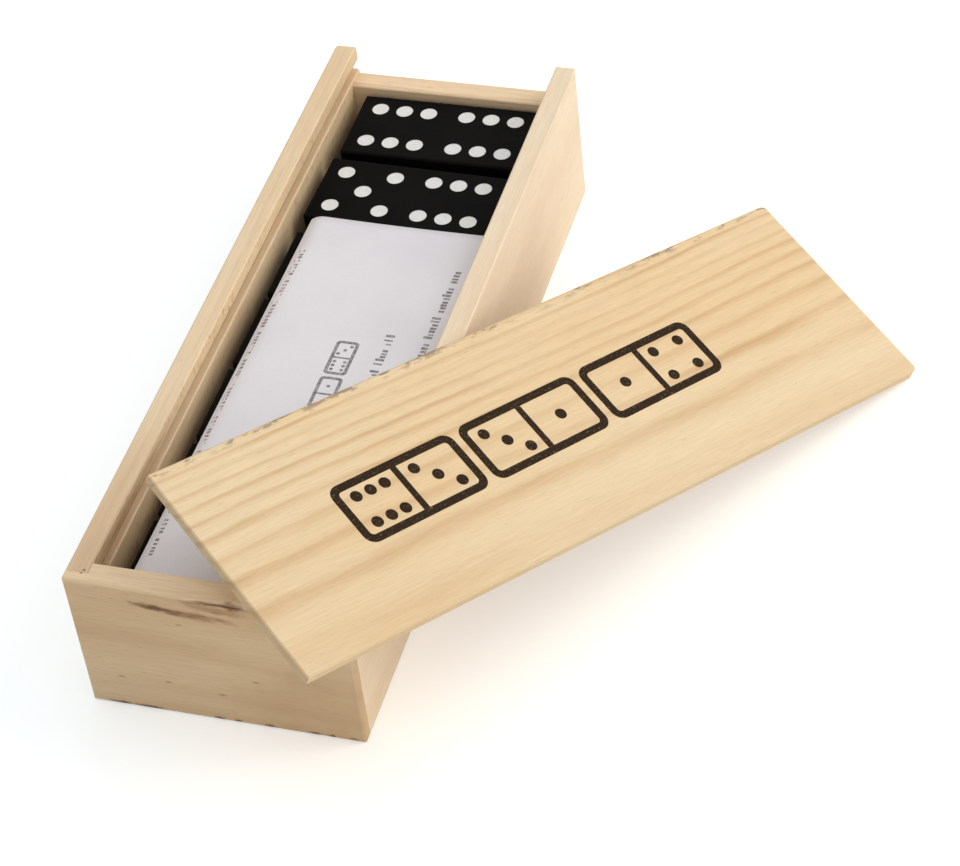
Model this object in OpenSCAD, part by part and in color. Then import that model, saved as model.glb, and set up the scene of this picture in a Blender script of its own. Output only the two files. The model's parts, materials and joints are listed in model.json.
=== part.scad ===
// Wooden domino box with a sliding lid. The lid is off and leans on the box's right rim.
// The box holds a double-six set, 28 tiles in seven stacks of four, with a folded leaflet on top.
// The origin is the centre of the box's underside. X runs across the box, Y runs along it
// towards the low far end, where the lid slides in, and Z is up. Sizes are in millimetres.

/* [Tiles] */
// Length of a tile, which lies across the box
tile_l = 36.5; // [34:0.5:42]
// Width of a tile, along the box
tile_w = 18.2; // [17:0.1:21]
// Thickness of a tile
tile_t = 5; // [4:0.1:8]
// Bevel along each edge of a tile
tile_edge = 0.35; // [0.1:0.05:0.6]
// Gap between a tile and what it lies on
stack_gap = 0.05; // [0.02:0.01:0.3]

/* [Pips] */
// Diameter of a pip at the tile's face
pip_d = 3.5; // [2.5:0.1:4]
// Depth of a pip's dimple
pip_depth = 0.4; // [0.2:0.05:0.9]
// Distance between the rows of pips in one half of a tile
pip_pitch = 5.05; // [4.4:0.05:5.4]
// Distance of each half's middle pip from the middle of the tile
half_offset = 9; // [8:0.1:10]

/* [How the tiles lie] */
// Room beside a tile's two ends, together, between the side panels
end_play = 5.3; // [1.6:0.1:7]
// Gap between the near end panel and the first stack
near_gap = 0.2; // [0.1:0.05:1]
// Gap between the stacks that the leaflet covers
covered_gap = 1.4; // [0.1:0.05:2]
// Gap between the covered stacks and the two open stacks
middle_gap = 4.25; // [1.8:0.05:6]
// Gap between the two open stacks
open_gap = 2.55; // [0.9:0.05:3]
// Gap between the last stack and the far end panel
far_gap = 0.8; // [0.25:0.05:1.5]
// How far the stack of five-six lies to the right of the middle
five_six_shift = -0.25; // [-0.4:0.05:0.4]
// How far the stack of double six lies to the right of the middle
double_six_shift = 0.5; // [-0.5:0.05:0.5]
// Turn of the five-six on its stack, in degrees
five_six_turn = -1.1; // [-1.5:0.1:1.5]
// Turn of the double six on its stack, in degrees
double_six_turn = 0.3; // [-0.4:0.1:0.4]

/* [Walls] */
// Thickness of a side panel
side_t = 4.2; // [3.6:0.1:7]
// Thickness of the near end panel, with its lap
near_t = 4.5; // [4.2:0.1:8]
// Thickness of the lap, which covers the ends of the side panels
near_lap = 2; // [1:0.1:2.2]
// Thickness of the far end panel
far_t = 4.6; // [3.5:0.1:8]
// How far the far end panel stands back from the ends of the side panels
far_set_in = 0.1; // [0.1:0.1:2]
// How far the far end panel's top lies below the floor of the lid's groove
far_drop = 0.7; // [0.2:0.1:3]
// Height of the lip above the lid's groove
lip_h = 3; // [2:0.1:5]
// Bevel along the walls' outer edges
wall_edge = 0.3; // [0.2:0.05:0.8]
// Bevel along the lips' inner edges and the groove's floor
lip_edge = 0.25; // [0.1:0.05:0.5]
// Radius of the near end panel's upright corners
near_round = 0.5; // [0.4:0.1:1.2]
// Radius of the side panels' outer upright corners at the far end
far_round = 1.3; // [0.5:0.1:2]
// Radius of the side panels' top corners at the far end
far_top_round = 0.4; // [0.3:0.1:2]

/* [Bottom] */
// Thickness of the bottom panel
bottom_t = 3; // [2:0.1:5]
// Width of the rebate in the walls that the bottom panel is glued into
bottom_seat = 2; // [1:0.1:2.2]

/* [Lid] */
// Thickness of the lid
lid_t = 2; // [1.5:0.1:4]
// Room above the lid in its groove
lid_top_play = 0.6; // [0.2:0.1:1.5]
// Room beside each long edge of the lid in its groove
lid_side_play = 0.3; // [0.1:0.05:0.8]
// Room between the lid's inner end and its groove in the near end panel
lid_end_play = 0.3; // [0.1:0.05:1]
// Depth of the lid's groove in the walls
groove_depth = 2; // [1:0.1:2.4]
// Free height between the tiles and the floor of the lid's groove
head_room = 2; // [1:0.1:6]
// Radius of the two corners at the lid's outer end
lid_round = 1.8; // [0.5:0.1:5]
// Bevel along the lid's edges
lid_edge = 0.25; // [0.1:0.05:0.6]

/* [How the lid leans] */
// Distance from the box's right side to the place where the lid's plane meets the table
lean_out = 74.1; // [60:0.1:95]
// Distance of the lid's low corner past the middle of the box, along it
lean_y = 31.7; // [0:0.1:60]
// Turn of the lid on its slope, away from straight down, in degrees
lean_turn = 55.8; // [40:0.1:65]
// Gap between the lid and what it leans and stands on
lean_gap = 0.1; // [0.05:0.05:0.3]

/* [Leaflet] */
// Height of the folded leaflet, sprung open
leaflet_t = 1.6; // [0.8:0.1:1.8]
// Thickness of the leaflet at its fold
leaflet_fold_t = 0.4; // [0.3:0.05:0.6]
// Width of the rounded shoulder beside the fold
leaflet_shoulder = 3; // [1.5:0.1:6]
// Gap between the left side panel and the leaflet
leaflet_left_gap = 4.2; // [2:0.1:12]
// Gap between the right side panel and the leaflet's nearest corner
leaflet_right_gap = 0.1; // [0.1:0.05:2]
// Gap between the near end panel and the leaflet
leaflet_near_gap = 0.5; // [0.4:0.1:5]
// Gap between the leaflet and the first open stack
leaflet_far_gap = 1.25; // [0.5:0.05:3]
// Turn of the leaflet on the tiles, in degrees
leaflet_turn = -0.5; // [-0.8:0.1:0.5]

/* [Hidden] */
// A double-six set holds each pair of numbers from 0 to 6 once
most_pips = 6;
columns = most_pips + 1;
tile_count = (most_pips + 1) * (most_pips + 2) / 2;
layers = tile_count / columns;
covered = columns - 2;

// The room that the tiles need sets the inside of the box
inner_w = tile_l + end_play;
covered_l = near_gap + covered * tile_w + (covered - 1) * covered_gap;
inner_l = covered_l + middle_gap + 2 * tile_w + open_gap + far_gap;
tiles_top = bottom_t + layers * (tile_t + stack_gap);

// Heights of the lid's groove and of the walls
groove_z = tiles_top + head_room;
lip_z = groove_z + lid_t + lid_top_play;
box_h = lip_z + lip_h;
far_h = groove_z - far_drop;

// Plan of the box
box_w = inner_w + 2 * side_t;
box_l = near_t + inner_l + far_t + far_set_in;
near_y = -box_l / 2;
near_in = near_y + near_t;
far_in = near_in + inner_l;
far_y = box_l / 2;

// The bottom panel reaches into a rebate in each wall
seat_x = inner_w / 2 + bottom_seat;
seat_near = near_in - bottom_seat;
seat_far = far_in + bottom_seat;

// The closed lid fills the grooves but for its plays and ends flush with the side panels
lid_w = inner_w + 2 * (groove_depth - lid_side_play);
lid_l = far_y - (near_in - groove_depth + lid_end_play);
lean = atan2(box_h, lean_out);

// The leaflet fills the inside's width but for its gaps and the room that its turn needs
leaflet_l = covered_l + middle_gap - leaflet_near_gap - leaflet_far_gap;
leaflet_swing = leaflet_l / 2 * sin(abs(leaflet_turn));
leaflet_left = leaflet_left_gap - inner_w / 2;
leaflet_right = inner_w / 2 - leaflet_right_gap - leaflet_swing;
leaflet_w = leaflet_right - leaflet_left;

// How far a cutting shape reaches past the faces that it cuts, so that no skin is left there
past = 1;

pine = [0.87, 0.77, 0.61];
lid_pine = [0.93, 0.83, 0.66];
end_pine = [0.80, 0.68, 0.53];
bottom_wood = [0.82, 0.71, 0.55];
black = [0.11, 0.11, 0.10];
paper = [0.87, 0.86, 0.88];

$fn = 48;

// All pairs of numbers from double blank to double six, in order
tile_pairs = [for (low = [0:most_pips]) for (high = [low:most_pips]) [low, high]];
tile_names = [for (pair = tile_pairs) str("tile_", pair[0], "_", pair[1])];

// Rectangle from the origin, with its corners cut at 45 degrees
module cut_rect(size, cut) {
    x = size[0];
    y = size[1];
    polygon([[cut, 0], [x - cut, 0], [x, cut], [x, y - cut],
             [x - cut, y], [cut, y], [0, y - cut], [0, cut]]);
}

// Rectangle from the origin, with the two corners at its high x end rounded
module round_end_rect(size, r) {
    x = size[0];
    y = size[1];
    polygon([[0, 0], [x - r, 0], [x, r], [x, y - r], [x - r, y], [0, y]]);
    for (corner_y = [r, y - r]) translate([x - r, corner_y]) circle(r = r);
}

// Stand a drawing in X and Z upright and draw it out along Y, from low to high
module along_y(low, high) {
    translate([0, high, 0]) rotate([90, 0, 0]) linear_extrude(high - low) children();
}

// Stand a drawing in Y and Z upright and draw it out along X, from low to high
module along_x(low, high) {
    translate([low, 0, 0]) rotate([90, 0, 90]) linear_extrude(high - low) children();
}

// The room that the bottom panel fills, which the rebates in the walls leave free
module bottom_block() {
    translate([-seat_x, seat_near, 0]) cube([2 * seat_x, seat_far - seat_near, bottom_t]);
}

// A side panel's section, from its inner face outwards, with the groove for the lid
module side_section() {
    polygon([
        [0, 0],
        [side_t - wall_edge, 0],
        [side_t, wall_edge],
        [side_t, box_h - wall_edge],
        [side_t - wall_edge, box_h],
        [lip_edge, box_h],
        [0, box_h - lip_edge],
        [0, lip_z],
        [groove_depth, lip_z],
        [groove_depth, groove_z],
        [lip_edge, groove_z],
        [0, groove_z - lip_edge]
    ]);
}

// Side panel on the right: it butts against the near end's lap and runs to the far end,
// where its outer corner and its top corner are rounded
module side_panel() {
    side_y = near_y + near_lap;
    side_l = far_y - side_y;
    difference() {
        intersection() {
            along_y(side_y, far_y) translate([inner_w / 2, 0]) side_section();
            along_x(inner_w / 2 - past, box_w / 2 + past)
                translate([side_y, 0]) union() {
                    polygon([[0, 0], [side_l, 0], [side_l, box_h - far_top_round],
                             [side_l - far_top_round, box_h], [0, box_h]]);
                    translate([side_l - far_top_round, box_h - far_top_round])
                        circle(r = far_top_round);
                }
            linear_extrude(box_h) translate([inner_w / 2, side_y]) union() {
                polygon([[0, 0], [side_t, 0], [side_t, side_l - far_round],
                         [side_t - far_round, side_l], [0, side_l]]);
                translate([side_t - far_round, side_l - far_round]) circle(r = far_round);
            }
        }
        bottom_block();
    }
}

module right_side() {
    color(pine) side_panel();
}

// The left side panel is the mirror image of the right one
module left_side() {
    color(pine) mirror([1, 0, 0]) side_panel();
}

// Near end panel: a lap over the full width in front, and behind it the part between
// the side panels, with the groove that takes the lid's inner end
module near_end() {
    lap_y = near_y + near_lap;
    color(end_pine) difference() {
        union() {
            intersection() {
                translate([0, lap_y, 0]) rotate([0, 0, -90]) linear_extrude(box_h)
                    translate([0, -box_w / 2]) round_end_rect([near_lap, box_w], near_round);
                along_x(-box_w / 2, box_w / 2) polygon([
                    [near_y + wall_edge, 0],
                    [lap_y, 0],
                    [lap_y, box_h],
                    [near_y + wall_edge, box_h],
                    [near_y, box_h - wall_edge],
                    [near_y, wall_edge]
                ]);
                along_y(near_y, lap_y) translate([-box_w / 2, 0]) cut_rect([box_w, box_h], wall_edge);
            }
            along_x(-inner_w / 2, inner_w / 2) polygon([
                [lap_y, 0],
                [near_in, 0],
                [near_in, groove_z - lip_edge],
                [near_in - lip_edge, groove_z],
                [near_in - groove_depth, groove_z],
                [near_in - groove_depth, lip_z],
                [near_in, lip_z],
                [near_in, box_h - lip_edge],
                [near_in - lip_edge, box_h],
                [lap_y, box_h]
            ]);
        }
        bottom_block();
    }
}

// Far end panel, between the side panels and low enough for the lid to pass over it
module far_end() {
    far_out = far_in + far_t;
    color(end_pine) difference() {
        along_x(-inner_w / 2, inner_w / 2) polygon([
            [far_in, 0],
            [far_out - wall_edge, 0],
            [far_out, wall_edge],
            [far_out, far_h - wall_edge],
            [far_out - wall_edge, far_h],
            [far_in + lip_edge, far_h],
            [far_in, far_h - lip_edge]
        ]);
        bottom_block();
    }
}

// Bottom panel, flush with the walls' undersides
module bottom_panel() {
    color(bottom_wood) bottom_block();
}

// The lid lying flat: its length runs back along -X from its outer end,
// whose two corners are rounded
module flat_lid() {
    translate([-lid_l, 0, 0]) intersection() {
        linear_extrude(lid_t) round_end_rect([lid_l, lid_w], lid_round);
        along_y(0, lid_w) cut_rect([lid_l, lid_t], lid_edge);
        along_x(0, lid_l) cut_rect([lid_w, lid_t], lid_edge);
    }
}

// The lid leans on the right rim and stands on its low corner. The corner's rounding
// lets it slip down its slope until it stands.
module lid() {
    slip = lid_round * (cos(lean_turn) + sin(lean_turn) - 1);
    color(lid_pine)
        translate([box_w / 2 + lean_out, lean_y, 0]) rotate([0, lean, 0])
            translate([slip, 0, lean_gap]) rotate([0, 0, lean_turn]) flat_lid();
}

// Folded leaflet on the covered tiles, with its fold along the left edge. It springs open
// from the fold, over a rounded shoulder, to its full height.
module leaflet() {
    rise = leaflet_t - leaflet_fold_t;
    shoulder_r = (pow(leaflet_shoulder, 2) + pow(rise, 2)) / (2 * rise);
    color(paper)
        translate([
            (leaflet_left + leaflet_right) / 2,
            near_in + leaflet_near_gap + leaflet_l / 2,
            tiles_top + stack_gap
        ])
            rotate([0, 0, leaflet_turn]) along_y(-leaflet_l / 2, leaflet_l / 2)
                translate([-leaflet_w / 2, 0]) intersection() {
                    square([leaflet_w, leaflet_t]);
                    union() {
                        translate([leaflet_shoulder, 0])
                            square([leaflet_w - leaflet_shoulder, leaflet_t]);
                        translate([leaflet_shoulder, leaflet_t - shoulder_r])
                            circle(r = shoulder_r);
                    }
                }
}

// Block with a bevel along every edge, standing on its lower face
module bevelled_block(size, bevel) {
    intersection() {
        linear_extrude(size[2]) translate([-size[0] / 2, -size[1] / 2])
            cut_rect([size[0], size[1]], bevel);
        along_y(-size[1] / 2, size[1] / 2) translate([-size[0] / 2, 0])
            cut_rect([size[0], size[2]], bevel);
        along_x(-size[0] / 2, size[0] / 2) translate([-size[1] / 2, 0])
            cut_rect([size[1], size[2]], bevel);
    }
}

// Places of n pips on a three by three grid. Six stands in two rows of three along the tile.
function pip_spots(n) = concat(
    n % 2 == 1 ? [[0, 0]] : [],
    n > 1 ? [[-1, 1], [1, -1]] : [],
    n > 3 ? [[-1, -1], [1, 1]] : [],
    n > 5 ? [[0, -1], [0, 1]] : []
);

// Shallow round dimples for the pips of one half, whose middle is at half_x
module pip_dimples(n, half_x) {
    ball_r = (pow(pip_d / 2, 2) + pow(pip_depth, 2)) / (2 * pip_depth);
    for (spot = pip_spots(n))
        translate([half_x + spot[0] * pip_pitch, spot[1] * pip_pitch, tile_t + ball_r - pip_depth])
            sphere(r = ball_r);
}

// A tile with its lower number on the left
module domino(pair) {
    color(black) difference() {
        bevelled_block([tile_l, tile_w, tile_t], tile_edge);
        pip_dimples(pair[0], -half_offset);
        pip_dimples(pair[1], half_offset);
    }
}

// Where a stack's middle lies along the box: the covered stacks stand against the near end,
// and the two open ones against the far end
function stack_y(column) =
    column < covered
        ? near_in + near_gap + tile_w / 2 + column * (tile_w + covered_gap)
        : far_in - far_gap - tile_w / 2 - (columns - 1 - column) * (tile_w + open_gap);

// Where a stack's middle lies across the box
function stack_x(column) =
    column == columns - 1 ? double_six_shift
        : column == columns - 2 ? five_six_shift
        : 0;

// Only the two open tiles on top are seen to be turned
function tile_turn(place) =
    place == tile_count - 1 ? double_six_turn : place == tile_count - 2 ? five_six_turn : 0;

// The tile at a place, counted from the near end and then from the lowest layer up
module tile_in_box(place) {
    column = place % columns;
    layer = floor(place / columns);
    translate([stack_x(column), stack_y(column), bottom_t + stack_gap + layer * (tile_t + stack_gap)])
        rotate([0, 0, tile_turn(place)]) domino(tile_pairs[place]);
}

bottom_panel();
left_side();
right_side();
near_end();
far_end();
lid();
leaflet();
for (place = [0:tile_count - 1]) tile_in_box(place);
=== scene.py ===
"""Looks of the open domino box: pine boards, black tiles with painted pips, a folded leaflet."""

import json
import math
import random

import bmesh
import bpy
from mathutils import Matrix, Vector


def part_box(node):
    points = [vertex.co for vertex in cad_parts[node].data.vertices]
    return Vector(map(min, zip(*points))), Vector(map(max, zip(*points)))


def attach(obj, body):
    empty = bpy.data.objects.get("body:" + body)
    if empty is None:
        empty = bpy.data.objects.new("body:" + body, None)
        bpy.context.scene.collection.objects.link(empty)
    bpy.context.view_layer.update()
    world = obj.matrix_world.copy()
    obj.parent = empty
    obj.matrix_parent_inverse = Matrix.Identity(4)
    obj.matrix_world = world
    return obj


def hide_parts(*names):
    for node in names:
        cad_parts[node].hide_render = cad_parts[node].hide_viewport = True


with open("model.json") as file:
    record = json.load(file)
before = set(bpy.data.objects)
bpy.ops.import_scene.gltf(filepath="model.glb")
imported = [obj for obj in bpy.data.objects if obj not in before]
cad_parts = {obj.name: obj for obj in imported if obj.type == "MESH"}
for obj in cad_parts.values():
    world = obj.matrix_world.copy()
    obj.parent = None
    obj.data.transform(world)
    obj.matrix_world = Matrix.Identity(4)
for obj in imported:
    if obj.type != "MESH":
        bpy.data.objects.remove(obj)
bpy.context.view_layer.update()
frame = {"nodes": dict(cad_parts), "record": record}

MM = 0.001

# Sizes of the solids, in millimetres and degrees
BOX_W, BOX_L, BOX_H = 50.2, 150.0, 30.8
SIDE_T = 4.2
LID_L, LID_T, LID_ROUND = 147.2, 2.0, 1.8
LEAN_OUT, LEAN_Y, LEAN_TURN, LEAN_GAP = 74.1, 31.7, 55.8, 0.1
TILE_W, TILE_T = 18.2, 5.0
PIP_D, PIP_DEPTH, PIP_PITCH, HALF_OFFSET = 3.5, 0.4, 5.05, 9.0
LEAFLET_W, LEAFLET_L, LEAFLET_T, LEAFLET_TURN = 37.07, 99.3, 1.6, -0.5

# Where the stacks stand, and how far the open ones are off the middle and their top tiles turned
NEAR_IN, FAR_IN = -70.5, 70.3
NEAR_GAP, COVERED_GAP, OPEN_GAP, FAR_GAP = 0.2, 1.4, 2.55, 0.8
STACK_GAP, BOTTOM_T = 0.05, 3.0
COLUMNS, COVERED = 7, 5
SHIFTS = {5: -0.25, 6: 0.5}
TURNS = {26: -1.1, 27: 0.3}


def srgb(red, green, blue):
    """Linear colour of a colour that is written as it shows, from 0 to 255."""
    def linear(level):
        level /= 255
        return level / 12.92 if level <= 0.04045 else ((level + 0.055) / 1.055) ** 2.4
    return (linear(red), linear(green), linear(blue), 1.0)


# ---------------------------------------------------------------- materials

class Tree:
    """The nodes of a material or a world, and short ways to add to them."""

    def __init__(self, owner):
        owner.use_nodes = True
        self.owner = owner
        self.tree = owner.node_tree
        self.tree.nodes.clear()

    def node(self, kind, inputs=None, **settings):
        made = self.tree.nodes.new(kind)
        for key, value in settings.items():
            setattr(made, key, value)
        for key, value in (inputs or {}).items():
            self.feed(made.inputs[key], value)
        return made

    def feed(self, socket, value):
        if isinstance(value, bpy.types.NodeSocket):
            self.tree.links.new(value, socket)
        else:
            socket.default_value = value

    def math(self, operation, a, b=0.0):
        return self.node("ShaderNodeMath", {0: a, 1: b}, operation=operation).outputs[0]

    def vector(self, operation, a, b=(0, 0, 0)):
        made = self.node("ShaderNodeVectorMath", {0: a, 1: b}, operation=operation)
        return made.outputs["Value" if operation in ("LENGTH", "DOT_PRODUCT") else "Vector"]

    def mix(self, factor, a, b, blend="MIX"):
        made = self.node("ShaderNodeMix", data_type="RGBA", blend_type=blend)
        self.feed(made.inputs["Factor"], factor)
        colours = [socket for socket in made.inputs if socket.type == "RGBA"]
        self.feed(colours[0], a)
        self.feed(colours[1], b)
        return next(socket for socket in made.outputs if socket.type == "RGBA")

    def shaded(self, factor, colour, shade):
        """The colour, multiplied by a shade where the factor is 1."""
        return self.mix(factor, colour, self.mix(1.0, colour, shade, "MULTIPLY"))

    def spread(self, value, low, high, to_low=0.0, to_high=1.0):
        """A smooth step of the value from low to high."""
        made = self.node("ShaderNodeMapRange", {
            "Value": value, "From Min": low, "From Max": high, "To Min": to_low, "To Max": to_high,
        }, interpolation_type="SMOOTHSTEP")
        return made.outputs["Result"]

    def noise(self, place, scale, detail=2.0, roughness=0.5, output="Fac"):
        """Noise of so many waves a millimetre: one number, or one for each axis."""
        scales = (scale, scale, scale) if isinstance(scale, float) else scale
        made = self.node("ShaderNodeTexNoise", {
            "Vector": self.vector("MULTIPLY", place, scales), "Scale": 1.0,
            "Detail": detail, "Roughness": roughness,
        })
        return made.outputs[output]

    def ramp(self, value, stops):
        made = self.node("ShaderNodeValToRGB", {"Fac": value})
        elements = made.color_ramp.elements
        while len(elements) < len(stops):
            elements.new(0.5)
        for element, (position, level) in zip(elements, stops):
            element.position = position
            element.color = (level, level, level, 1)
        return made.outputs["Color"]

    def row_mm(self):
        """Place on the part at rest, in millimetres."""
        place = self.node("ShaderNodeTexCoord").outputs["Object"]
        return self.vector("MULTIPLY", place, (1000, 1000, 1000))

    def soft_edges(self, radius):
        """Normals that round the edges off, with the radius in millimetres."""
        return self.node("ShaderNodeBevel", {"Radius": radius * MM}, samples=4).outputs["Normal"]

    def bump(self, height, strength, depth, normal=None):
        """Relief of so many millimetres."""
        made = self.node("ShaderNodeBump", {
            "Strength": strength, "Distance": depth * MM, "Height": height,
        })
        if normal is not None:
            self.feed(made.inputs["Normal"], normal)
        return made.outputs["Normal"]

    def finish(self, colour, roughness, specular, normal=None):
        shader = self.node("ShaderNodeBsdfPrincipled", {
            "Base Color": colour, "Roughness": roughness, "Specular IOR Level": specular,
        })
        if normal is not None:
            self.feed(shader.inputs["Normal"], normal)
        self.node("ShaderNodeOutputMaterial", {"Surface": shader.outputs[0]})
        return self.owner


def material_tree(name):
    return Tree(bpy.data.materials.new(name))


# How a board's own frame, with the grain along its X, is turned from the row's
GRAIN_ALONG_X = Matrix(((1, 0, 0), (0, 0, 1), (0, -1, 0)))
GRAIN_ALONG_Y = Matrix(((0, 1, 0), (0, 0, 1), (1, 0, 0)))
FLAT_ALONG_Y = Matrix(((0, 1, 0), (-1, 0, 0), (0, 0, 1)))

# Darkness across one year's ring: slow rise through the summer, then a sharp edge, or a soft one
RING = ((0.0, 0.25), (0.05, 0.0), (0.45, 0.06), (0.8, 0.42), (0.93, 1.0), (1.0, 0.25))
SOFT_RING = ((0.0, 0.4), (0.08, 0.08), (0.3, 0.0), (0.55, 0.12), (0.74, 0.7), (0.88, 1.0),
             (1.0, 0.4))
# How far a ring wanders, as a part of a year, and the faintest year against the strongest
RING_WOBBLE, FAINTEST_YEAR = 0.28, 0.35

# Each board's early wood, its warmer patches, late wood and resin streaks
WALL_TONES = (srgb(234, 212, 179), srgb(228, 200, 162), srgb(194, 156, 114), srgb(164, 122, 84))
RIGHT_TONES = (srgb(238, 220, 192), srgb(233, 209, 178), srgb(204, 170, 134), srgb(176, 138, 104))
END_TONES = (srgb(228, 201, 162), srgb(219, 188, 147), srgb(184, 144, 102), srgb(146, 102, 70))
FAR_TONES = (srgb(243, 220, 187), srgb(236, 209, 172), srgb(196, 158, 118), srgb(164, 124, 88))
LID_TONES = (srgb(228, 205, 167), srgb(225, 197, 154), srgb(193, 150, 103), srgb(170, 130, 90))
BOTTOM_TONES = (srgb(222, 196, 158), srgb(212, 184, 146), srgb(182, 146, 106), srgb(160, 122, 86))

END_GRAIN_SHADE = (0.82, 0.795, 0.754, 1)
# Painted warm shade on the walls' inner faces
INNER_PAINTED_WARM_SHADE = (1.0, 0.96, 0.88, 1)
# Painted shade in the specks along the lid's rough far edge
ROUGH_EDGE_PAINTED_SHADE = srgb(128, 108, 92)
# Painted light: a paler top on the front board, where the lid's shadow falls
TOP_PAINTED_LIGHT = srgb(240, 216, 180)
PITH = srgb(106, 66, 40)
PALE_PITH = srgb(150, 104, 70)
SPECK = srgb(120, 80, 56)
# Dark specks on the front left seam, and painted contact shadow along the front board's lower edge
SEAM_SPECK_AND_CONTACT_SHADOW = srgb(104, 78, 58)
# Painted shade under the left lip, along its groove
GROOVE_PAINTED_SHADE = srgb(150, 108, 68)
TAN = srgb(208, 176, 140)
INK_BROWN = srgb(40, 26, 13)

RAGGED = (1.2, 1.2, 1.2)
WOOD_ROUGHNESS = (0.54, 0.68)
WOOD_SPECULAR, INK_SPECULAR = 0.25, 0.08
INK_WORN = 0.16
# Where the lid's rough far edge, speckled with painted shade, starts and ends, across the board
#  and through its thickness
LID_SHADED_EDGE = ((43.2, 45.0), (0.9, 1.9))


def spot(tree, place, colour, mark, fibres):
    """Tint the wood in a soft, ragged ellipsoid that shows the fibres. The mark gives its middle,
    its radii, its tilt about the row's Y, its colour and how strong it is."""
    middle, radii, tilt, tint, strength = mark
    local = tree.node("ShaderNodeMapping", {
        "Vector": place, "Location": middle, "Scale": radii,
        "Rotation": (0, math.radians(tilt), 0),
    }, vector_type="TEXTURE").outputs["Vector"]
    # The larger the mark, the coarser its ragged outline
    waves = [0.9 if radius < 2 else 2.4 / radius for radius in radii]
    ragged = tree.noise(place, waves, 3, 0.6, "Color")
    ragged = tree.vector("SUBTRACT", ragged, (0.5, 0.5, 0.5))
    ragged = tree.vector("MULTIPLY", ragged, RAGGED)
    distance = tree.vector("LENGTH", tree.vector("ADD", local, ragged))
    inside = tree.spread(distance, 0.15, 1.0, strength, 0.0)
    inside = tree.math("MULTIPLY", inside, tree.spread(fibres, 0.35, 0.6, 0.55, 1.0))
    return tree.mix(inside, colour, tint)


def year_rings(tree, board, grain, pith, ring, power, profile, contrast, warp, seed):
    """Late wood from 0 to its contrast: rings round a pith line that runs along the board's X,
    warped along the grain, each year of its own strength."""
    bend = tree.vector("SUBTRACT", grain(0.011, 0.035, 1.5, 0.5, "Color"), (0.5, 0.5, 0.5))
    bent = tree.vector("ADD", board, tree.vector("MULTIPLY", bend, (0, warp * 2, warp * 2)))
    from_pith = tree.vector("SUBTRACT", bent, (0, *pith))
    radius = tree.vector("LENGTH", tree.vector("MULTIPLY", from_pith, (0, 1, 1)))
    phase = tree.math("POWER", tree.math("DIVIDE", radius, ring), power)
    wobble = tree.math("SUBTRACT", grain(0.07, 0.35), 0.5)
    phase = tree.math("ADD", phase, tree.math("MULTIPLY", wobble, RING_WOBBLE))
    number = tree.math("ADD", tree.math("FLOOR", phase), seed)
    year = tree.node("ShaderNodeTexWhiteNoise", {"W": number}, noise_dimensions="1D")
    year_strength = tree.spread(year.outputs["Value"], 0, 1, FAINTEST_YEAR * contrast, contrast)
    fading = tree.spread(grain(0.03, 0.12), 0.3, 0.7, 0.45, 1.0)
    rings = tree.ramp(tree.math("FRACT", phase), profile)
    return tree.math("MULTIPLY", rings, tree.math("MULTIPLY", year_strength, fading))


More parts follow.
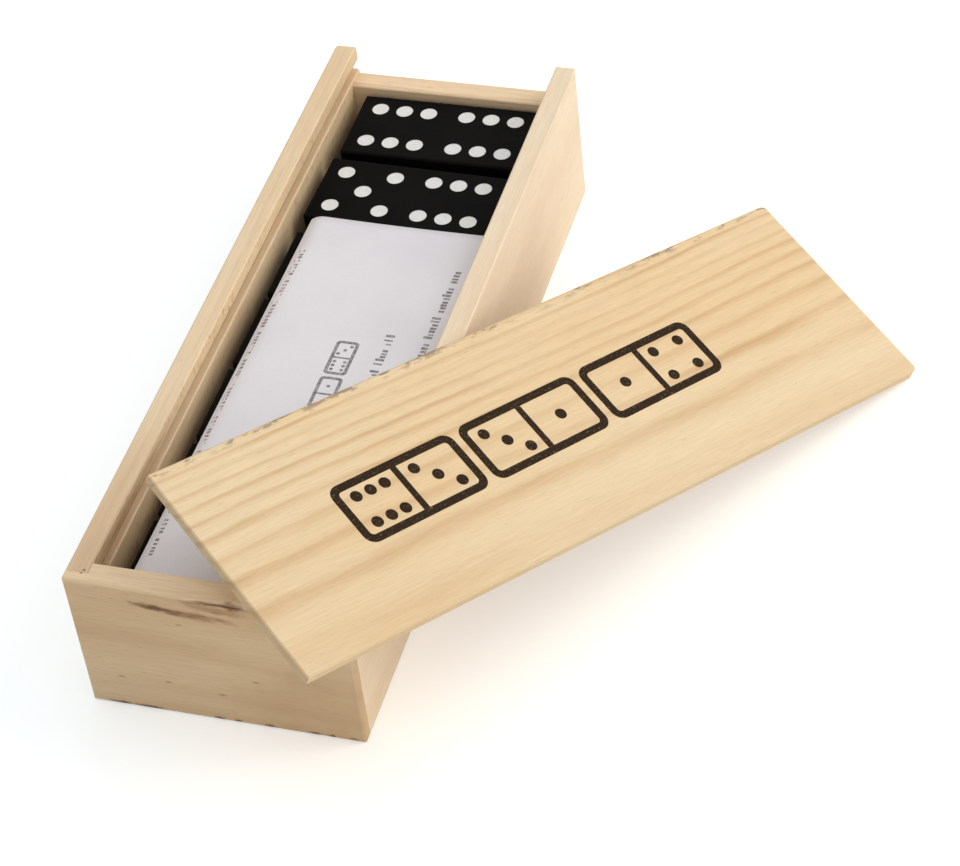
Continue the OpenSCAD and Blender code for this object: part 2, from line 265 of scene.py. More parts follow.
def pine(name, turn, tones, pith, ring, contrast, warp, seed, shift=(0, 0, 0), power=1.0,
         profile=RING, marks=(), inner=None, shaded_edge=None, ink=None):
    """Solid pine: year rings, fibres, short dark resin streaks and broad changes of tone. Turn and
    shift take the row's frame to the board's. Inner is the direction of the sawn inner faces,
    which get painted warm shade and the saw's marks; the shaded edge is where a rough edge,
    speckled with painted shade, starts and ends, and ink is the colour of worn print."""
    light, warm, late, streak = tones
    tree = material_tree(name)
    place = tree.row_mm()
    board = tree.node("ShaderNodeMapping", {
        "Vector": place, "Location": shift, "Rotation": turn.to_euler(),
    }).outputs["Vector"]
    seeded = tree.vector("ADD", board, (seed * 171.3, seed * 37.7, seed * 53.1))

    def grain(along, across, detail=2.0, roughness=0.5, output="Fac"):
        """Noise of so many waves a millimetre along the grain and across it."""
        return tree.noise(seeded, (along, across, across), detail, roughness, output)

    late_wood = year_rings(tree, board, grain, pith, ring, power, profile, contrast, warp, seed)
    tone = tree.spread(grain(0.013, 0.06), 0.32, 0.68)
    colour = tree.mix(tone, light, warm)
    colour = tree.mix(late_wood, colour, late)
    fibres = grain(0.16, 3.2, 3, 0.65)
    shade = tree.spread(fibres, 0.25, 0.75, 0.93, 1.05)
    grey = tree.node("ShaderNodeCombineColor", {0: shade, 1: shade, 2: shade}).outputs[0]
    colour = tree.mix(1.0, colour, grey, "MULTIPLY")
    dashes = tree.spread(grain(0.4, 4.5), 0.66, 0.76, 0.0, 0.4)
    colour = tree.mix(dashes, colour, streak)
    for mark in marks:
        colour = spot(tree, place, colour, mark, fibres)

    # End grain is darker, sawn inner faces are browner with painted warm shade, and show the saw's
    # marks
    facing = tree.node("ShaderNodeTexCoord").outputs["Normal"]
    on_end = tree.math("ABSOLUTE", tree.vector("DOT_PRODUCT", facing, tuple(turn[0])))
    colour = tree.shaded(tree.spread(on_end, 0.6, 0.95), colour, END_GRAIN_SHADE)
    if inner is not None:
        inside = tree.spread(tree.vector("DOT_PRODUCT", facing, inner), 0.6, 0.95)
        colour = tree.shaded(inside, colour, INNER_PAINTED_WARM_SHADE)
        teeth = tree.spread(grain(1.5, 0.45, 2, 0.6), 0.54, 0.7, 0.0, 0.5)
        patches = tree.spread(grain(0.035, 0.3), 0.4, 0.6)
        teeth = tree.math("MULTIPLY", tree.math("MULTIPLY", teeth, patches), inside)
        colour = tree.mix(teeth, colour, streak)
    if shaded_edge is not None:
        # Specks of painted shade along the lid's rough far edge
        sides = tree.node("ShaderNodeSeparateXYZ", {"Vector": board}).outputs
        edge_shade_specks = tree.spread(grain(0.22, 0.7, 3, 0.65), 0.5, 0.62, 0.0, 0.75)
        for side, edge in zip(("Y", "Z"), shaded_edge):
            edge_shade_specks = tree.math("MULTIPLY", edge_shade_specks, tree.spread(sides[side], *edge))
        colour = tree.mix(edge_shade_specks, colour, ROUGH_EDGE_PAINTED_SHADE)

    if ink is not None:
        specks = tree.noise(board, (1.4, 2.6, 2.6), 3, 0.7)
        worn = tree.math("MULTIPLY", tree.spread(specks, 0.56, 0.7), INK_WORN)
        worn = tree.math("ADD", worn, tree.math("MULTIPLY", fibres, 0.02))
        colour = tree.mix(worn, ink, colour)

    height = tree.math("SUBTRACT", tree.math("MULTIPLY", fibres, 0.7),
                       tree.math("MULTIPLY", late_wood, 0.4))
    height = tree.math("SUBTRACT", height, dashes)
    bump = tree.bump(height, 0.35, 0.06, tree.soft_edges(0.25))
    roughness = tree.spread(fibres, 0.2, 0.8, *WOOD_ROUGHNESS)
    return tree.finish(colour, roughness, WOOD_SPECULAR if ink is None else INK_SPECULAR, bump)


def front_marks():
    """The brown pith streaks and the specks of the front board, a pale top that is painted light
    where the lid's shadow falls, a darker patch towards the lower right, and painted contact
    shadow in broken marks along the lower edge.
    """
    def from_corner(x, z):
        """A point of the front face, from the distances to its left edge and to the table."""
        return (x - BOX_W / 2, -BOX_L / 2 + 0.1, z)

    marks = [
        # Pale band along the top of the front board: painted light where the lid's shadow falls
        ((0, -BOX_L / 2 + 2.2, BOX_H + 0.2), (90, 12, 1.6), 0, TOP_PAINTED_LIGHT, 1.0),
        (from_corner(42, 8), (20, 4, 13), 0, END_TONES[2], 0.45),
        (from_corner(15.0, 27.0), (5.0, 3, 1.1), 3, PITH, 1.0),
        (from_corner(19.0, 26.5), (5.5, 3, 1.0), 5, PITH, 1.0),
        (from_corner(24.0, 26.2), (8.0, 3, 1.3), 2.5, PALE_PITH, 0.9),
        (from_corner(26.5, 29.8), (8.0, 2.5, 0.8), -2, PITH, 0.9),
        (from_corner(30.5, 29.8), (4.0, 2.8, 1.3), 4, PITH, 1.0),
        (from_corner(27.0, 28.4), (8.0, 2, 1.2), 4, PALE_PITH, 0.7),
    ]
    for x, z in ((19.9, 23.4), (15.2, 7.9), (25.0, 6.8), (31.7, 11.5), (6.7, 7.5)):
        marks.append((from_corner(x, z), (1.1, 1, 0.4), 3, SPECK, 0.6))
    # Broken dark marks along the lower edge: painted contact shadow
    for x, length in ((5, 3.0), (11, 3.6), (23.7, 1.2), (27, 0.8), (33, 1.4), (41, 1.6),
                      (44, 0.9), (48, 1.2)):
        marks.append((from_corner(x, 0.4), (length * 1.2, 1.2, 0.7), 0, SEAM_SPECK_AND_CONTACT_SHADOW, 1.0))
    return marks


def groove_marks():
    """Painted shade along the lower edge of the left lip, deeper near the front, where the lip is
    also rough, and a darker tan patch on the left top near the front.
    """
    edge = BOX_W / 2 - SIDE_T
    return [((-edge, 0, 27.7), (0.9, 110, 0.9), 0, GROOVE_PAINTED_SHADE, 0.7),
            ((-edge, -56, 28.6), (1.3, 24, 2.2), 0, GROOVE_PAINTED_SHADE, 0.75),
            ((-edge - 2, -66, BOX_H), (5, 46, 1.5), 0, TAN, 0.7)]


def seam_marks():
    """Dark specks on top of the seam at the front left corner."""
    return [((-BOX_W / 2 + x, -BOX_L / 2 + y, BOX_H), (0.45, 0.35, 0.5), 0, SEAM_SPECK_AND_CONTACT_SHADOW, 0.8)
            for x, y in ((3.4, 2.6), (3.0, 1.9))]


def lid_place():
    """Matrix that takes the lid's own millimetres, from its inner near corner, to the row's."""
    lean = math.atan2(BOX_H, LEAN_OUT)
    turn = math.radians(LEAN_TURN)
    slip = LID_ROUND * (math.cos(turn) + math.sin(turn) - 1)
    return (Matrix.Translation((BOX_W / 2 + LEAN_OUT, LEAN_Y, 0)) @ Matrix.Rotation(lean, 4, "Y")
            @ Matrix.Translation((slip, 0, LEAN_GAP)) @ Matrix.Rotation(turn, 4, "Z")
            @ Matrix.Translation((-LID_L, 0, 0)))


LID_PLACE = lid_place()


def lid_pine(name, ink=None):
    to_board = LID_PLACE.inverted()
    return pine(name, to_board.to_3x3(), LID_TONES, pith=(-12, -30), ring=28.8, contrast=0.74,
                warp=1.8, seed=3.0, shift=to_board.translation, power=3.0, profile=SOFT_RING,
                shaded_edge=LID_SHADED_EDGE, ink=ink)


def lacquer():
    """Black lacquer over fine wood, satin, with lighter edges: wear and a painted highlight."""
    tree = material_tree("black_lacquer")
    place = tree.row_mm()
    broad = tree.noise(place, (0.09, 0.09, 0.3))
    colour = tree.mix(tree.spread(broad, 0.35, 0.65), srgb(9, 9, 8), srgb(14, 13, 12))
    grain = tree.noise(place, (0.35, 4.5, 4.5), 3, 0.6)
    dust = tree.noise(place, 3.2, 2, 0.6)
    colour = tree.mix(tree.spread(dust, 0.66, 0.8, 0, 0.25), colour, srgb(84, 80, 76))
    soft = tree.soft_edges(0.3)
    straight = tree.node("ShaderNodeNewGeometry").outputs["True Normal"]
    # Lighter edges, both wear and a painted highlight
    edge = tree.spread(tree.vector("DOT_PRODUCT", soft, straight), 0.9, 0.995, 1, 0)
    edge_wear_and_highlight = tree.math("MULTIPLY", edge, tree.spread(grain, 0.4, 0.65, 0.1, 0.5))
    colour = tree.mix(edge_wear_and_highlight, colour, srgb(48, 44, 40))
    return tree.finish(colour, tree.spread(grain, 0.3, 0.7, 0.46, 0.56), 0.03,
                       tree.bump(grain, 0.25, 0.04, soft))


def pip_paint():
    """White paint, slightly patchy."""
    tree = material_tree("pip_paint")
    patches = tree.noise(tree.row_mm(), 0.9, 3, 0.6)
    colour = tree.mix(tree.spread(patches, 0.35, 0.7), srgb(228, 228, 227), srgb(222, 222, 220))
    return tree.finish(colour, tree.spread(patches, 0.3, 0.7, 0.45, 0.55), 0.2,
                       tree.bump(patches, 0.1, 0.01))


def paper():
    """White paper with a faint cast, a little cloudy, with fine fibres."""
    tree = material_tree("leaflet_paper")
    place = tree.row_mm()
    cloud = tree.noise(place, 0.05, 3)
    colour = tree.mix(tree.spread(cloud, 0.35, 0.65), srgb(229, 227, 231), srgb(223, 221, 226))
    fibres = tree.noise(place, 2.4, 4, 0.65)
    colour = tree.mix(tree.spread(fibres, 0.3, 0.75, 0.0, 0.16), colour, srgb(207, 204, 210))
    return tree.finish(colour, tree.spread(fibres, 0.3, 0.7, 0.7, 0.8), 0.2,
                       tree.bump(fibres, 0.3, 0.03))


def toner():
    """Grey print on the leaflet, thin and uneven."""
    tree = material_tree("grey_print")
    uneven = tree.noise(tree.row_mm(), 2.2, 3, 0.6)
    colour = tree.mix(tree.spread(uneven, 0.35, 0.7), srgb(118, 114, 118), srgb(172, 168, 173))
    return tree.finish(colour, tree.spread(uneven, 0.3, 0.7, 0.55, 0.7), 0.2)


def dress(node, material):
    """Give a CAD node its material."""
    mesh = frame["nodes"][node].data
    mesh.materials.clear()
    mesh.materials.append(material)


# ------------------------------------------------------------------- pieces

def add_object(name, data):
    made = bpy.data.objects.new(name, data)
    bpy.context.scene.collection.objects.link(made)
    return made


def mesh_piece(name, shape, material, place, smooth=True):
    """Object from a bmesh in millimetres, moved to its place in the row's frame."""
    bmesh.ops.recalc_face_normals(shape, faces=shape.faces)
    shape.transform(Matrix.Scale(MM, 4) @ place)
    mesh = bpy.data.meshes.new(name)
    shape.to_mesh(mesh)
    shape.free()
    for face in mesh.polygons:
        face.use_smooth = smooth
    mesh.materials.append(material)
    return add_object(name, mesh)


def join_rings(shape, a, b):
    """Faces between two closed rings that have as many points as each other."""
    for i in range(len(a)):
        j = (i + 1) % len(a)
        shape.faces.new((a[i], a[j], b[j], b[i]))


def plate(shape, outline, height, low, thickness):
    """A flat closed plate: the outline, drawn out upwards. The height adds a surface's own form."""
    lower = [shape.verts.new((x, y, height(x, y) + low)) for x, y in outline]
    upper = [shape.verts.new((x, y, height(x, y) + low + thickness)) for x, y in outline]
    shape.faces.new(lower)
    shape.faces.new(upper)
    join_rings(shape, lower, upper)


def band(shape, outer, inner, height, low, thickness):
    """A closed plate between two outlines that have as many points as each other."""
    rings = []
    for outline in (outer, inner):
        for z in (low, low + thickness):
            rings.append([shape.verts.new((x, y, height(x, y) + z)) for x, y in outline])
    outer_low, outer_high, inner_low, inner_high = rings
    join_rings(shape, outer_low, outer_high)
    join_rings(shape, outer_high, inner_high)
    join_rings(shape, inner_high, inner_low)
    join_rings(shape, inner_low, outer_low)


def disc(x, y, radius, sides=24):
    angles = [2 * math.pi * i / sides for i in range(sides)]
    return [(x + radius * math.cos(angle), y + radius * math.sin(angle)) for angle in angles]


def rounded(x, y, width, depth, radius, steps=6):
    """Outline of a rectangle with round corners, from its lower left corner."""
    left, right, low, high = x + radius, x + width - radius, y + radius, y + depth - radius
    points = []
    for cx, cy, start in ((right, low, -90), (right, high, 0), (left, high, 90), (left, low, 180)):
        for step in range(steps + 1):
            angle = math.radians(start + 90 * step / steps)
            points.append((cx + radius * math.cos(angle), cy + radius * math.sin(angle)))
    return points


def pip_spots(n):
    """Columns and rows of a half's pips, in steps from its middle."""
    spots = [(0, 0)] if n % 2 else []
    spots += [(-1, 1), (1, -1)] if n > 1 else []
    spots += [(-1, -1), (1, 1)] if n > 3 else []
    spots += [(0, -1), (0, 1)] if n > 5 else []
    return spots


def tile_place(number):
    """Matrix of a tile, counted from the near end and then from the lowest layer up."""
    column, layer = number % COLUMNS, number // COLUMNS
    if column < COVERED:
        y = NEAR_IN + NEAR_GAP + TILE_W / 2 + column * (TILE_W + COVERED_GAP)
    else:
        y = FAR_IN - FAR_GAP - TILE_W / 2 - (COLUMNS - 1 - column) * (TILE_W + OPEN_GAP)
    z = BOTTOM_T + STACK_GAP + layer * (TILE_T + STACK_GAP)
    return Matrix.Translation((SHIFTS.get(column, 0), y, z)) @ Matrix.Rotation(
        math.radians(TURNS.get(number, 0)), 4, "Z")


# Radius of the paint in a dimple, and how far parts of that radius lie below the paint's edge
PAINT_R, PAINT_SIDES = 1.71, 28
PAINT_FACE = ((1, 0), (0.9, 0.045), (0.6, 0.1), (0.3, 0.12))
PAINT_FLOOR, PAINT_SUNK = (0.3, 0.65, 0.93), 0.02


def paint_drop(shape, x, y):
    """Paint in one dimple: a thin lens on the dimple's floor, with a level face."""
    ball = ((PIP_D / 2) ** 2 + PIP_DEPTH ** 2) / (2 * PIP_DEPTH)

    def floor_at(r):
        return TILE_T - PIP_DEPTH + ball - math.sqrt(ball ** 2 - r ** 2)

    def ring(r, z):
        return [shape.verts.new((px, py, z)) for px, py in disc(x, y, r, PAINT_SIDES)]

    edge = floor_at(PAINT_R)
    face_rings = [ring(PAINT_R * part, edge - drop) for part, drop in PAINT_FACE]
    floor_rings = [ring(PAINT_R * part, floor_at(PAINT_R * part) - PAINT_SUNK)
                   for part in PAINT_FLOOR]
    rings = face_rings[::-1] + floor_rings[::-1]
    for a, b in zip(rings, rings[1:]):
        join_rings(shape, a, b)
    shape.faces.new(rings[0])
    shape.faces.new(rings[-1])


def paint_pips(material):
    bodies = {node: body for body, nodes in frame["record"]["behaviour"]["bodies"].items()
              for node in nodes}
    pairs = [(low, high) for low in range(7) for high in range(low, 7)]
    for number, (low, high) in enumerate(pairs):
        drops = [(-HALF_OFFSET, spot_at) for spot_at in pip_spots(low)]
        drops += [(HALF_OFFSET, spot_at) for spot_at in pip_spots(high)]
        if not drops:
            continue
        shape = bmesh.new()
        for half, (column, row) in drops:
            paint_drop(shape, half + column * PIP_PITCH, row * PIP_PITCH)
        pips = mesh_piece(f"pips_{low}_{high}", shape, material, tile_place(number))
        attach(pips, bodies[f"tile_{low}_{high}"])


# The print on the lid: a chain of three dominoes, in the lid's own millimetres
PRINT_LEFT, PRINT_MIDDLE_Y, PRINT_TURN = 25.4, 22.5, 0.9
CHAIN = ((6, 3), (3, 1), (1, 4))
CHAIN_L, CHAIN_H, CHAIN_GAP, STROKE = 27.6, 12.8, 1.5, 1.55
CHAIN_ROUND, CHAIN_INNER_ROUND = 2.2, 0.8
CHAIN_BAR = STROKE * 0.42
CHAIN_PIP_X, CHAIN_PIP_Y, CHAIN_PIP_R = 3.15, 2.95, 1.12
PRINT_CLEAR = 0.02
LID_INK = (-0.01, 0.03)


def lid_print(material):
    """Outlined dominoes, each a frame, a bar across its middle and its pips."""
    shape = bmesh.new()

    def level(x, y):
        return 0.0

    for index, halves in enumerate(CHAIN):
        left = index * (CHAIN_L + CHAIN_GAP)
        band(shape, rounded(left, -CHAIN_H / 2, CHAIN_L, CHAIN_H, CHAIN_ROUND),
             rounded(left + STROKE, STROKE - CHAIN_H / 2, CHAIN_L - 2 * STROKE,
                     CHAIN_H - 2 * STROKE, CHAIN_INNER_ROUND), level, *LID_INK)
        middle = left + CHAIN_L / 2
        reach = CHAIN_H / 2 - STROKE
        plate(shape, [(middle - CHAIN_BAR, PRINT_CLEAR - reach),
                      (middle + CHAIN_BAR, PRINT_CLEAR - reach),
                      (middle + CHAIN_BAR, reach - PRINT_CLEAR),
                      (middle - CHAIN_BAR, reach - PRINT_CLEAR)], level, *LID_INK)
        for side, number in zip((-1, 1), halves):
            centre = middle + side * (CHAIN_L - 2 * STROKE + 2 * CHAIN_BAR) / 4
            for column, row in pip_spots(number):
                plate(shape, disc(centre + column * CHAIN_PIP_X, row * CHAIN_PIP_Y, CHAIN_PIP_R),
                      level, *LID_INK)
    place = (LID_PLACE @ Matrix.Translation((PRINT_LEFT, PRINT_MIDDLE_Y, LID_T))
             @ Matrix.Rotation(math.radians(PRINT_TURN), 4, "Z"))
    piece = mesh_piece("lid_print", shape, material, place, smooth=False)
    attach(piece, "lid")


# The leaflet: two sheets, folded together along the left edge and sprung open
SHEET_T = 0.11
FOLD_T, SHOULDER = 0.4, 3.0
# How far in each layer's flat parts start, the fold's greatest reach and its least height
FOLD_START, FOLD_REACH, FOLD_LEAST = 0.25, 0.2, 0.12
# The inner sheet is narrower and shorter, lies farther from the fold and higher, and is waved
INNER_NARROWER, INNER_SHORTER, INNER_INSET = 0.6, 0.5, 0.28
LOW_LAYER, INNER_HIGHER, INNER_WAVE = 0.06, 0.1, 0.16
LAYERS_APART = 0.16
# Depth of the top layer's hollow along the middle, and of the ripple along its free edge
HOLLOW, RIPPLE = 0.22, 0.05
LAYER_STEPS, FOLD_STEPS, SHEET_ROWS = 26, 8, 40


def leaflet_place():
    """Matrix that takes the leaflet's own millimetres, from its near left corner, to the row's."""
    low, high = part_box("leaflet")
    middle = (Vector(low) + Vector(high)) / 2 / MM
    return (Matrix.Translation((middle.x, middle.y, low[2] / MM))
            @ Matrix.Rotation(math.radians(LEAFLET_TURN), 4, "Z")
            @ Matrix.Translation((-LEAFLET_W / 2, -LEAFLET_L / 2, 0)))


def top_height(x, y):
    """Middle of the top layer above the tiles: a rounded shoulder, then a soft hollow."""
    full = LEAFLET_T - (SHEET_T / 2 + 0.01)
    rise = full - FOLD_T + SHEET_T / 2
    radius = (SHOULDER ** 2 + rise ** 2) / (2 * rise)
    if x < SHOULDER:
        return full - radius + math.sqrt(max(radius ** 2 - (SHOULDER - x) ** 2, 0))
    out = (x - SHOULDER) / (LEAFLET_W - SHOULDER)
    along = y / LEAFLET_L
    uneven = 0.6 + 0.4 * math.sin(2.4 * math.pi * along + 0.7)
    hollow = HOLLOW * math.sin(math.pi * out) * uneven
    ripple = RIPPLE * out * (1 + math.sin(5.2 * math.pi * along + 1.0))
    return full - hollow - ripple


def layer_path(inner, y):
    """Section of one folded sheet at y, from its lower right edge, round the fold, to its upper
    one."""
    width = LEAFLET_W - (INNER_NARROWER if inner else 0.0)
    inset = INNER_INSET if inner else 0.0
    low = LOW_LAYER + (INNER_HIGHER if inner else 0.0)
    flat = width - inset - FOLD_START
    points = []
    for step in range(LAYER_STEPS + 1):
        x = width - flat * step / LAYER_STEPS
        wave = INNER_WAVE * math.sin(math.pi * min(1, (x - inset) / width)) if inner else 0.0
        points.append((x, low + wave))
    start = top_height(inset + FOLD_START, y)
    if inner:
        start = max(low + FOLD_LEAST, start - LAYERS_APART)
    middle, radius = (low + start) / 2, (start - low) / 2
    for step in range(1, FOLD_STEPS):
        angle = math.pi * step / FOLD_STEPS
        points.append((inset + FOLD_START - math.sin(angle) * min(radius, FOLD_REACH),
                       middle - math.cos(angle) * radius))
    for step in range(LAYER_STEPS + 1):
        part = step / LAYER_STEPS
        x = inset + FOLD_START + flat * part ** 1.5
        z = top_height(x, y)
        if inner:
            z = start + (z - start) * (0.45 + 0.12 * math.sin(3 * part + y / 30))
            z = min(z, top_height(x, y) - LAYERS_APART)
        points.append((x, z))
    return points


def fold_sheet(name, inner, material, place):
    shape = bmesh.new()
    length = LEAFLET_L - (INNER_SHORTER if inner else 0.0)
    sections = []
    for row in range(SHEET_ROWS + 1):
        y = length * row / SHEET_ROWS
        sections.append([shape.verts.new((x, y, z)) for x, z in layer_path(inner, y)])
    for a, b in zip(sections, sections[1:]):
        for i in range(len(a) - 1):
            shape.faces.new((a[i], a[i + 1], b[i + 1], b[i]))
    sheet = mesh_piece(name, shape, material, place)
    thicken = sheet.modifiers.new("thickness", "SOLIDIFY")
    thicken.thickness = SHEET_T * MM
    thicken.offset = 0.0
    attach(sheet, "leaflet")
    return sheet


# The leaflet's print: lines of strokes, and a row of outlined dominoes towards the near end
LEAFLET_INK = (SHEET_T / 2 + 0.002, 0.015)
# Each line's foot, height, start, end and bow
LINES = ((2.4, 1.2, 8.0, 89.0, 0.8), (26.7, 1.7, 20.0, 69.5, 0.0), (33.6, 1.7, 12.0, 88.5, 0.0))
TICK_PITCH, GROUP_GAP, GROUP_COUNTS = 0.92, 1.1, (3, 9)
# A stroke's height, as parts of the line's, and its width and the step to the next, in pitches
TICK_HEIGHTS, TICK_WIDTHS, TICK_STEPS = (0.62, 0.62, 0.7, 1.0), (0.42, 0.72), (0.85, 1.2)
HEADER = ((6, 3), (3, 1), (1, 4), (4, 5))
HEADER_X, HEADER_END, HEADER_PITCH = 16.6, 66.2, 9.7
SMALL_W, SMALL_L, SMALL_STROKE, SMALL_BAR = 4.4, 9.0, 0.66, 0.2
SMALL_ROUND, SMALL_INNER_ROUND, SMALL_CLEAR = 0.8, 0.35, 0.01
SMALL_PIP_X, SMALL_PIP_Y, SMALL_PIP_R, SMALL_HALF = 1.0, 1.05, 0.36, 2.1


def tick_line(shape, rng, foot, height, start, end, bow):
    """A line of small upright strokes in groups, like a line of print seen from afar. It may bow
    towards the fold."""
    y = start
    left = rng.randint(*GROUP_COUNTS)
    while y < end:
        if left == 0:
            y += GROUP_GAP
            left = rng.randint(*GROUP_COUNTS)
            continue
        x = foot - bow * math.sin(math.pi * (y - start) / (end - start))
        tall = height * rng.choice(TICK_HEIGHTS)
        wide = TICK_PITCH * rng.uniform(*TICK_WIDTHS)
        plate(shape, [(x - tall, y), (x, y), (x, y + wide), (x - tall, y + wide)], top_height,
              *LEAFLET_INK)
        y += TICK_PITCH * rng.uniform(*TICK_STEPS)
        left -= 1


def small_domino(shape, x, top, halves):
    y = top - SMALL_L
    inner = SMALL_STROKE
    band(shape, rounded(x, y, SMALL_W, SMALL_L, SMALL_ROUND, 3),
         rounded(x + inner, y + inner, SMALL_W - 2 * inner, SMALL_L - 2 * inner,
                 SMALL_INNER_ROUND, 3), top_height, *LEAFLET_INK)
    middle = y + SMALL_L / 2
    left, right = x + inner + SMALL_CLEAR, x + SMALL_W - inner - SMALL_CLEAR
    plate(shape, [(left, middle - SMALL_BAR), (right, middle - SMALL_BAR),
                  (right, middle + SMALL_BAR), (left, middle + SMALL_BAR)],
          top_height, *LEAFLET_INK)
    for side, number in zip((-1, 1), halves):
        for column, row in pip_spots(number):
            plate(shape, disc(x + SMALL_W / 2 - row * SMALL_PIP_X,
                              middle + side * SMALL_HALF + column * SMALL_PIP_Y, SMALL_PIP_R, 12),
                  top_height, *LEAFLET_INK)


def leaflet_print(material, place):
    """Three fine lines of strokes and a row of small outlined dominoes, in plain grey."""
    rng = random.Random(7)
    shape = bmesh.new()
    for line in LINES:
        tick_line(shape, rng, *line)
    for index, halves in enumerate(HEADER):
        small_domino(shape, HEADER_X, HEADER_END - index * HEADER_PITCH, halves)
    piece = mesh_piece("leaflet_print", shape, material, place, smooth=False)
    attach(piece, "leaflet")


# ---------------------------------------------------------- camera and light

# The photograph's viewpoint, from its perspective fit: its place in millimetres, the directions to
# the picture's right and away from the camera, and the lens in millimetres on a 36 mm sensor
VIEW_AT = (164.776, -366.816, 376.386)
VIEW_RIGHT = (0.95738, 0.27379, -0.09203)
VIEW_AWAY = (-0.25954, 0.67559, -0.69008)
VIEW_LENS = 108.9

SKY_STRENGTH = 0.62
# Each lamp's name, place, aim, width, power and colour
LAMPS = (
    ("key", (0.7, 0.3, 0.75), (0.02, 0, 0.01), 0.6, 2.8, (1.0, 0.98, 0.95)),
    ("top", (-0.1, 0.05, 1.2), (0, 0, 0), 1.0, 2.4, (1.0, 0.99, 0.98)),
    ("side", (0.8, 0.2, 0.2), (0.02, 0.02, 0.0), 0.35, 1.7, (1.0, 0.99, 0.98)),
)

# The floor in metres: its half width, how far it lies below the part, where its painted tint
#  changes from cool shade on the left to warm bounce light on the right, and how far away it
#  starts and ends fading to white
FLOOR_REACH, FLOOR_DROP, FLOOR_SEAM, FLOOR_FADE = 6.0, 0.00005, (-0.03, 0.03), (0.4, 1.0)
# Painted tints of the floor: cool shade on the left, warm bounce light on the right
FLOOR_PAINTED_COOL_SHADE, FLOOR_PAINTED_WARM_BOUNCE = (0.77, 0.82, 0.85, 1), (0.84, 0.815, 0.775, 1)
GLOW_PAINTED_COOL_SHADE, GLOW_PAINTED_WARM_BOUNCE, GLOW_STRENGTH = (0.98, 1, 1, 1), (1, 0.99, 0.972, 1), 0.4


def camera():
    data = bpy.data.cameras.new("camera")
    data.sensor_width = 36.0
    data.lens = VIEW_LENS
    data.clip_start, data.clip_end = 0.05, 20
    made = add_object("camera", data)
    right = Vector(VIEW_RIGHT).normalized()
    forward = Vector(VIEW_AWAY)
    forward = (forward - right * forward.dot(right)).normalized()
    turn = Matrix((right, right.cross(forward), -forward)).transposed().to_4x4()
    made.matrix_world = Matrix.Translation(Vector(VIEW_AT) * MM) @ turn
    bpy.context.scene.camera = made


def area_light(name, place, target, size, power, colour):
    data = bpy.data.lights.new(name, "AREA")
    data.shape = "DISK"
    data.size = size
    data.energy = power
    data.color = colour
    made = add_object(name, data)
    made.location = place
    made.rotation_euler = (Vector(target) - Vector(place)).to_track_quat("-Z", "Y").to_euler()


def seen_directly(tree):
    """1 for a ray from the camera, a mirror or a glass, 0 for one that only carries light."""
    path = tree.node("ShaderNodeLightPath").outputs
    seen = tree.math("MAXIMUM", path["Is Camera Ray"], path["Is Glossy Ray"])
    return tree.math("MAXIMUM", seen, path["Is Transmission Ray"])


def sky():
    """Even white light. What is seen of it directly is plain white."""
    world = bpy.data.worlds.new("studio")
    bpy.context.scene.world = world
    tree = Tree(world)
    light = tree.node("ShaderNodeBackground", {
        "Color": (1.0, 0.99, 0.98, 1), "Strength": SKY_STRENGTH,
    })
    white = tree.node("ShaderNodeBackground", {"Color": (1, 1, 1, 1), "Strength": 1.0})
    mix = tree.node("ShaderNodeMixShader", {
        0: seen_directly(tree), 1: light.outputs[0], 2: white.outputs[0],
    })
    tree.node("ShaderNodeOutputWorld", {"Surface": mix.outputs[0]})


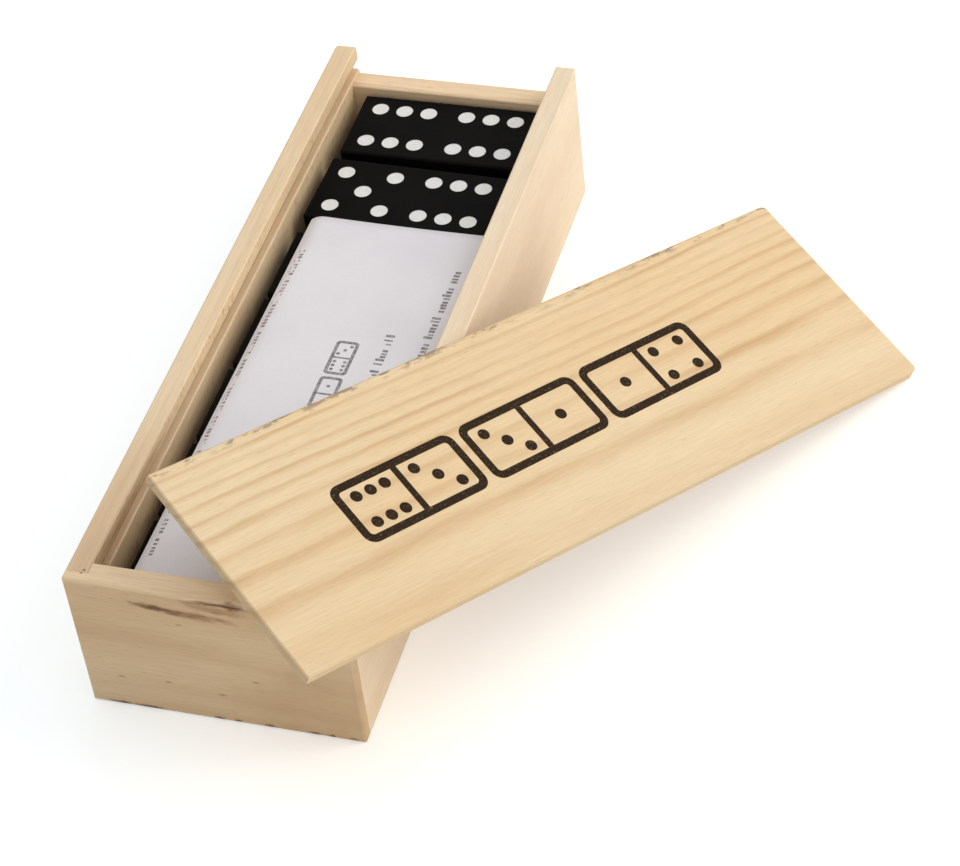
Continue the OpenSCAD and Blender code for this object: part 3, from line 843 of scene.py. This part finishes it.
def floor():
    """Pale floor that keeps the object's soft shadow and fades to white far out, tinted with
    painted cool shade on the left and painted warm bounce light on the right.
    """
    mesh = bpy.data.meshes.new("floor")
    corners = [(x * FLOOR_REACH, y * FLOOR_REACH, 0)
               for x, y in ((-1, -1), (1, -1), (1, 1), (-1, 1))]
    mesh.from_pydata(corners, [], [(0, 1, 2, 3)])
    made = add_object("floor", mesh)
    made.location.z = -FLOOR_DROP
    tree = material_tree("floor")
    place = tree.node("ShaderNodeTexCoord").outputs["Object"]
    away = tree.vector("LENGTH", place)
    across = tree.node("ShaderNodeSeparateXYZ", {"Vector": place}).outputs["X"]
    # Painted tint: cool shade to the left of the box, warm bounce light to its right
    right = tree.spread(across, *FLOOR_SEAM)
    diffuse = tree.node("ShaderNodeBsdfDiffuse", {"Color": tree.mix(right, FLOOR_PAINTED_COOL_SHADE, FLOOR_PAINTED_WARM_BOUNCE)})
    glow = tree.node("ShaderNodeEmission", {
        "Color": tree.mix(right, GLOW_PAINTED_COOL_SHADE, GLOW_PAINTED_WARM_BOUNCE), "Strength": GLOW_STRENGTH,
    })
    both = tree.node("ShaderNodeAddShader", {0: diffuse.outputs[0], 1: glow.outputs[0]})
    white = tree.node("ShaderNodeEmission", {"Color": (1, 1, 1, 1), "Strength": 1.0})
    shown = tree.node("ShaderNodeMixShader", {
        0: tree.spread(away, *FLOOR_FADE), 1: both.outputs[0], 2: white.outputs[0],
    })
    mix = tree.node("ShaderNodeMixShader", {
        0: seen_directly(tree), 1: diffuse.outputs[0], 2: shown.outputs[0],
    })
    tree.node("ShaderNodeOutputMaterial", {"Surface": mix.outputs[0]})
    mesh.materials.append(tree.owner)


# -------------------------------------------------------------------- scene

bpy.context.scene.view_settings.view_transform = "Standard"
camera()
sky()
for lamp in LAMPS:
    area_light(*lamp)
floor()

dress("left_side", pine("pine_left_side", GRAIN_ALONG_Y, WALL_TONES, pith=(18, 26), ring=3.6,
                        contrast=0.5, warp=2.5, seed=1.0, marks=groove_marks() + seam_marks(),
                        inner=(1, 0, 0)))
dress("right_side", pine("pine_right_side", GRAIN_ALONG_Y, RIGHT_TONES, pith=(6, -24), ring=4.6,
                         contrast=0.34, warp=3.0, seed=2.0, inner=(-1, 0, 0)))
dress("near_end", pine("pine_near_end", GRAIN_ALONG_X, END_TONES, pith=(24, 52), ring=5.2,
                       contrast=0.34, warp=4.5, seed=4.0, profile=SOFT_RING,
                       marks=front_marks() + seam_marks()))
dress("far_end", pine("pine_far_end", GRAIN_ALONG_X, FAR_TONES, pith=(-12, -40), ring=2.3,
                      contrast=0.5, warp=1.5, seed=5.0))
dress("bottom_panel", pine("pine_bottom", FLAT_ALONG_Y, BOTTOM_TONES, pith=(-6, -42), ring=4.2,
                           contrast=0.4, warp=4.0, seed=6.0))
dress("lid", lid_pine("pine_lid"))
black = lacquer()
for node_name in frame["nodes"]:
    if node_name.startswith("tile_"):
        dress(node_name, black)

paint_pips(pip_paint())
lid_print(lid_pine("lid_ink", ink=INK_BROWN))

leaf_place = leaflet_place()
leaf_paper = paper()
outer_sheet = fold_sheet("leaflet_outer_sheet", False, leaf_paper, leaf_place)
fold_sheet("leaflet_inner_sheet", True, leaf_paper, leaf_place)
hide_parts("leaflet")
leaflet_print(toner(), leaf_place)
